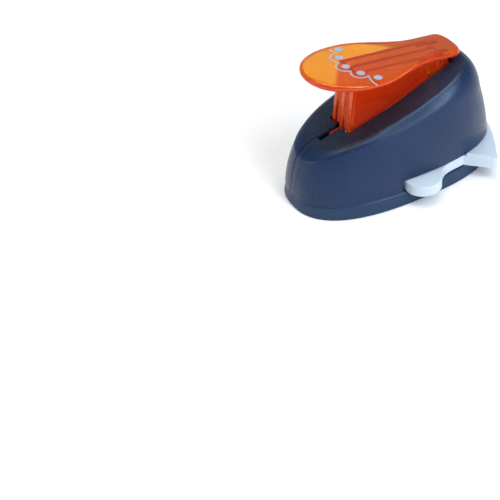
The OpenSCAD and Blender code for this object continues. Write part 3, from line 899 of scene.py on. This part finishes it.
def web_solids():
    """Ribs, cross panels, arms and hub below the plate."""
    (front_x, _, front_z), (rear_x, _, rear_z) = (on_plate(s, 0, -BURIED) for s in (-59, -7.5))
    rib = [(front_x, front_z), (-28.6, 37.4), (-28.35, 36.6), RIB_FOOT, RIB_HEEL, (rear_x, rear_z)]
    made = [slab(rib, y, RIB_T) for y in (RIB_T / 2 - WEB_HALF, 0, WEB_HALF - RIB_T / 2)]
    # tongue of the middle rib, in the narrow end of the slot
    made.append(slab([(-28, 37.2), (-34.4, 36.2), (-34.6, 34.6), (-27.7, 36)], 0, RIB_T))
    # cross panels at the front and at the rear
    wide = 2 * (WEB_HALF - RIB_T) + 0.4
    made.append(slab([under(-23.3), (-27.4, 37.2), (-25.6, 37.6), under(-21.5)], 0, wide))
    made.append(slab([under(25.4), (25.4, 53.9), RIB_HEEL, under(RIB_HEEL[0])], 0, wide))
    # bead along the foot of each side wall
    for side in (-1, 1):
        bead = [(-27.9, 36.3), RIB_FOOT, RIB_HEEL, (27, 55.9), (-27.3, 37.8)]
        made.append(slab(bead, side * (WEB_HALF - 0.2), 0.9))
    # arms down to the hub
    x, z = HINGE
    arm = [under(19), (19, 61), (x - HUB, z), (x, z - 4), (x + 4, z + 1)]
    arm += [(35.6, 54.9), (31.6, 58.4), under(31.4)]
    made += [slab(arm, y, 2.8) for y in (-4.6, 4.6)]
    made.append(slab(circle(*HINGE, HUB, 64), 0, HUB_WIDTH))
    return made


def lever_surface(polygon):
    """Which of the lever's surfaces a face belongs to."""
    up = Vector((math.sin(PLATE_TILT), 0, math.cos(PLATE_TILT)))
    top = Vector(on_plate(0, 0, 0)) * MM
    depth = (top - polygon.center).dot(up) / MM
    rise = polygon.normal.dot(up)
    x, y, z = polygon.center / MM
    if depth < PLATE_T + 0.01:
        return "top" if rise > 0.5 else "under" if rise < -0.7 else "rim"
    if polygon.normal.x < -0.8:
        # the ribs' front edges lean, and the panel lies behind them
        return "edge" if x < -23.9 + 0.13 * (z - 70) else "panel"
    return "edge" if abs(y) > WEB_HALF + 0.1 else "web"


def lever():
    verts, faces = plate()
    obj = piece("lever_moulding", verts, faces, LEVER_SURFACES["top"], None)
    web = web_solids()
    for part in web:
        rounded(part, 0.16, 2, 30)
        applied(part)
    combine(obj, web, "UNION")
    cuts = [slab(circle(*HINGE, HINGE_BORE, 64), 0, 2 * HUB_WIDTH)]
    # the cam pin goes in from the left and stops inside the right rib
    cuts.append(slab(circle(*CAM_PIN, CAM_PIN_BORE), 6.45, 27.1))
    # room for the cam, on both sides of the middle rib
    room = box_outline(14, 27.5, 42, 58)
    cuts += [slab(room, y, 2.5) for y in (-2.55, 2.55)]
    combine(obj, cuts, "DIFFERENCE")
    clean(obj)
    obj.data.set_sharp_from_angle(angle=math.radians(35))
    obj.data.materials.clear()
    for material in LEVER_SURFACES.values():
        obj.data.materials.append(material)
    numbers = {surface: i for i, surface in enumerate(LEVER_SURFACES)}
    for polygon in obj.data.polygons:
        polygon.material_index = numbers[lever_surface(polygon)]
    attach(obj, "lever")
    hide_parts("lever")
    return obj


# ---------------------------------------------------------------- print on the lever

INK_T = 0.03
DOTS = [(-19.3, 15.3), (-23.5, 8), (-25.2, -1.1), (-22, -9.6), (-16.7, -16.7)]
DOT_R = 2.1
LINE_HALF = 0.42


def printed(name, shapes):
    """Thin ink shapes on the lever's top. A shape is two lines of points, its left and its right edge."""
    verts, faces = [], []
    for left, right in shapes:
        n, start = len(left), len(verts)
        for z in (-INK_T, INK_T):
            verts += [plate_place(x, y, z) for x, y in list(left) + list(right)]
        low_left, low_right, high_left, high_right = (start + i * n for i in range(4))
        for i in range(n - 1):
            faces.append((low_left + i, low_left + i + 1, low_right + i + 1, low_right + i))
            faces.append((high_left + i, high_right + i, high_right + i + 1, high_left + i + 1))
            faces.append((low_left + i, high_left + i, high_left + i + 1, low_left + i + 1))
            faces.append((low_right + i, low_right + i + 1, high_right + i + 1, high_right + i))
        for i in (0, n - 1):
            faces.append((low_left + i, low_right + i, high_right + i, high_left + i))
    obj = piece(name, verts, faces, PRINT, "lever", smooth=False)
    return obj


def dot(x, y):
    """A round dot as its two half circles, which just miss each other at their ends."""
    angles = np.linspace(0.02, math.pi - 0.02, 21)
    left = [(x - DOT_R * math.cos(a), y + DOT_R * math.sin(a)) for a in angles]
    return left, [(px, 2 * y - py) for px, py in left]


def scallop_line():
    """Scallops round the dots, as one ribbon of even width with a straight run at each end."""
    cusps = [(-21.8, 12.0), (-26.0, 3.5), (-25.3, -5.9), (-19.8, -13.4)]
    depths = [4.4, 4.6, 4.4]
    line = [(-23.9, 17.3), (-23.4, 15.0)]
    for (x0, y0), (x1, y1), depth in zip(cusps, cusps[1:], depths):
        run = math.hypot(x1 - x0, y1 - y0)
        nx, ny = (y1 - y0) / run, -(x1 - x0) / run
        for s in np.linspace(0, 1, 17)[:-1]:
            h = depth * (4 * s * (1 - s)) ** 0.6
            line.append((x0 + (x1 - x0) * s + nx * h, y0 + (y1 - y0) * s + ny * h))
    line += [cusps[-1], (-21.0, -16.2), (-21.4, -19.5), (-21.0, -23.0)]
    line = even(line, 110)
    side = left_of(line) * LINE_HALF
    return line + side, line - side


# ---------------------------------------------------------------- corner guide

FENCE_T = 1
FENCE_H = 1.5
FENCE_LENGTH = 12
EAR_R = 9.8
ARM_Y = 22.4
WING_ROOT = (28.3, 27.6)
TAIL_X = 36
GRIP_HOLLOWS = [((40, -27), 5.4), ((40, 27), 5.4), ((46, 0), 7)]
HOLLOW_DEPTH = 3.4


def guide_outline():
    """Plan of the guide: an ear, the edge up to the wing, the wing's tip and the tail, then mirrored."""
    half = [(-8.2, -ARM_Y)] + arc(-7.4, -31.2, 0.8, 180, 200, 3)
    half += arc(1.4, EAR_R - GUIDE_HIGH[1], EAR_R, 200, 322, 34)
    root = (WING_ROOT[0], -WING_ROOT[1])
    behind_ear = curve([(9.1, -36.2), (10.6, -34.2), (12.6, -31.7), (16.4, -29.4), (20.6, -28.5), root])
    half += [tuple(p) for p in even(behind_ear, 26)][1:]
    half += [(39.2, -38.5)] + arc(41.1, -36.5, 2, -100, -20, 10)
    half += [(HALF_LENGTH - 0.05 * abs(y) ** 1.6, y) for y in np.linspace(-34, -0.5, 34)]
    return half + [(x, -y) for x, y in reversed(half)] + [(TAIL_X, ARM_Y), (TAIL_X, -ARM_Y)]


def fence(side, low, high):
    """Low wall along a wing's slanted edge, at 45 degrees."""
    along = np.array((1, side)) / math.sqrt(2)
    inward = np.array((1, -side)) / math.sqrt(2) * FENCE_T
    start = np.array((WING_ROOT[0], side * WING_ROOT[1])) + 1.5 * along
    end = start + FENCE_LENGTH * along
    return prism([tuple(c) for c in (start, end, end + inward, start + inward)], low, high)


def guide():
    low, high = GUIDE_LOW[2], GUIDE_HIGH[2] - FENCE_H
    outline = guide_outline()
    verts = [(x, y, z) for z in (low, high) for x, y in outline]
    obj = piece("guide_plate", verts, prism_faces(len(outline)), WHITE, None)
    combine(obj, [fence(side, high - 1, high + FENCE_H) for side in (-1, 1)], "UNION")
    hollows = [prism(circle(*place, r), low - 1, low + HOLLOW_DEPTH) for place, r in GRIP_HOLLOWS]
    combine(obj, hollows, "DIFFERENCE")
    clean(obj)
    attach(obj, "guide")
    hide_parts("corner_guide")
    return rounded(obj, 0.45, 4, 30)


# ---------------------------------------------------------------- springs

WIRE_R = 0.45
WIRE_SIDES = 10
COILS = 5
COIL_STEPS = 200
CLOSED_SHARE = 0.16


def spring(name, node):
    """Return spring with closed ends, built at rest and riding on the body; the real one shortens as the
    punch goes down.
    """
    low, high = cad(node)
    centre = (low + high) / 2
    radius = (high[0] - low[0]) / 2 - WIRE_R
    bottom, top = low[2] + WIRE_R, high[2] - WIRE_R
    verts, faces = [], []
    for i in range(COIL_STEPS + 1):
        u = i / COIL_STEPS
        a = 2 * math.pi * COILS * u
        z = bottom + (top - bottom) * min(1, max(0, (u - CLOSED_SHARE) / (1 - 2 * CLOSED_SHARE)))
        for k in range(WIRE_SIDES):
            w = 2 * math.pi * k / WIRE_SIDES
            q = radius + WIRE_R * math.cos(w)
            verts.append((centre[0] + q * math.cos(a), centre[1] + q * math.sin(a), z + WIRE_R * math.sin(w)))
    for i in range(COIL_STEPS):
        here, after = i * WIRE_SIDES, (i + 1) * WIRE_SIDES
        for k in range(WIRE_SIDES):
            b = (k + 1) % WIRE_SIDES
            faces.append((here + k, after + k, after + b, here + b))
    last = COIL_STEPS * WIRE_SIDES
    faces += [tuple(range(WIRE_SIDES)), tuple(last + k for k in reversed(range(WIRE_SIDES)))]
    obj = piece(name, verts, faces, SPRING, "body", [node])
    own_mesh(obj)
    return obj


# ---------------------------------------------------------------- CAD nodes that show as they are

FINISH = {
    "guide_deck": NAVY_BASE,
    "thrust_cam": ACETAL,
    "cam_pin": PIN,
    "hinge_pin": PIN,
    "pin_clips": BLACK,
    "bracket_left": ZINC,
    "bracket_right": ZINC,
    "bracket_screws": ZINC,
    "stripper_plate": GROUND,
    "throat_spacer": ZINC,
    "die_plate": GROUND,
    "plate_screws": BLACK,
    "guide_post_left": PIN,
    "guide_post_right": PIN,
    "punch_block": CAST,
    "corner_cutter": GROUND,
    "hole_punches": GROUND,
    "cutter_screw": BLACK,
    "base_screws": BLACK,
}


def finish_cad():
    """Gives the CAD nodes their materials and rounded edges."""
    for name, material in FINISH.items():
        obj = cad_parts[name]
        for holder in obj.material_slots:
            holder.material = material
        weld = obj.modifiers.new("weld", "WELD")
        weld.merge_threshold = 0.002 * MM
        rounded(obj, 0.12, 2, 40)


# ---------------------------------------------------------------- stage, with places in metres

FLOOR_HALF_MM = 3000
SKY = [(0.0, (0.98, 0.99, 1.0)), (0.35, (0.40, 0.42, 0.45)), (0.8, (0.13, 0.14, 0.15))]
CAMERA_PLACE = (-0.2713, -0.4156, 0.3779)
CAMERA_AZIMUTH = -24.17
CAMERA_ELEVATION = 41.01
CAMERA_ROLL = 5.58
CAMERA_LENS = 83.5


def floor():
    half = FLOOR_HALF_MM
    corners = [(x, y, 0) for x, y in box_outline(-half, half, -half, half)]
    obj = mesh_object("floor", corners, [(0, 1, 2, 3)])
    material, tree, shader = nodes_of("floor_paper")
    paper = ramp(tree, noise(tree, PAPER_SCALE, 3), [(0.3, (0.93, 0.93, 0.93)), (0.7, (0.95, 0.95, 0.95))])
    tree.links.new(paper, shader.inputs["Base Color"])
    shader.inputs["Roughness"].default_value = 0.9
    obj.data.materials.append(material)


def light(name, place, size, watts, colour=(1, 1, 1), aim=(0, 0, 0.03)):
    data = bpy.data.lights.new(name, "AREA")
    data.shape = "RECTANGLE"
    data.size, data.size_y = size
    data.energy = watts
    data.color = colour
    obj = bpy.data.objects.new(name, data)
    obj.location = place
    obj.rotation_euler = (Vector(aim) - Vector(place)).to_track_quat("-Z", "Y").to_euler()
    bpy.context.scene.collection.objects.link(obj)


def lights():
    """A world that is white up to the horizon and darker above it, and three soft lights."""
    world = bpy.data.worlds.new("world")
    bpy.context.scene.world = world
    world.use_nodes = True
    tree = world.node_tree
    where = tree.nodes.new("ShaderNodeTexCoord")
    split = tree.nodes.new("ShaderNodeSeparateXYZ")
    tree.links.new(where.outputs["Generated"], split.inputs["Vector"])
    tree.links.new(ramp(tree, split.outputs["Z"], SKY), tree.nodes["Background"].inputs["Color"])
    light("key", (0.15, -0.62, 0.58), (0.25, 0.95), 6.6, (0.90, 0.95, 1))
    light("top", (-0.05, 0.1, 0.9), (0.6, 0.6), 5.6)
    light("left", (-0.7, 0.1, 0.3), (0.2, 0.4), 0.6)


def camera():
    a, e, r = (math.radians(v) for v in (CAMERA_AZIMUTH, CAMERA_ELEVATION, CAMERA_ROLL))
    right = Vector((math.cos(a), math.sin(a), 0))
    up = Vector((-math.sin(a) * math.sin(e), math.cos(a) * math.sin(e), math.cos(e)))
    back = right.cross(up)
    turned = (math.cos(r) * right - math.sin(r) * up, math.sin(r) * right + math.cos(r) * up, back)
    data = bpy.data.cameras.new("camera")
    data.lens = CAMERA_LENS
    data.sensor_width = 36
    data.clip_start, data.clip_end = 0.01, 20
    obj = bpy.data.objects.new("camera", data)
    obj.matrix_world = Matrix.Translation(CAMERA_PLACE) @ Matrix(turned).transposed().to_4x4()
    bpy.context.scene.collection.objects.link(obj)
    bpy.context.scene.camera = obj


camera()
lights()
floor()
housing()
nose_strip()
base()
lever()
printed("lever_dots", [dot(x, y) for x, y in DOTS])
printed("lever_scallops", [scallop_line()])
guide()
spring("coil_left", "return_spring_left")
spring("coil_right", "return_spring_right")
finish_cad()

bpy.context.scene.view_settings.view_transform = "Standard"
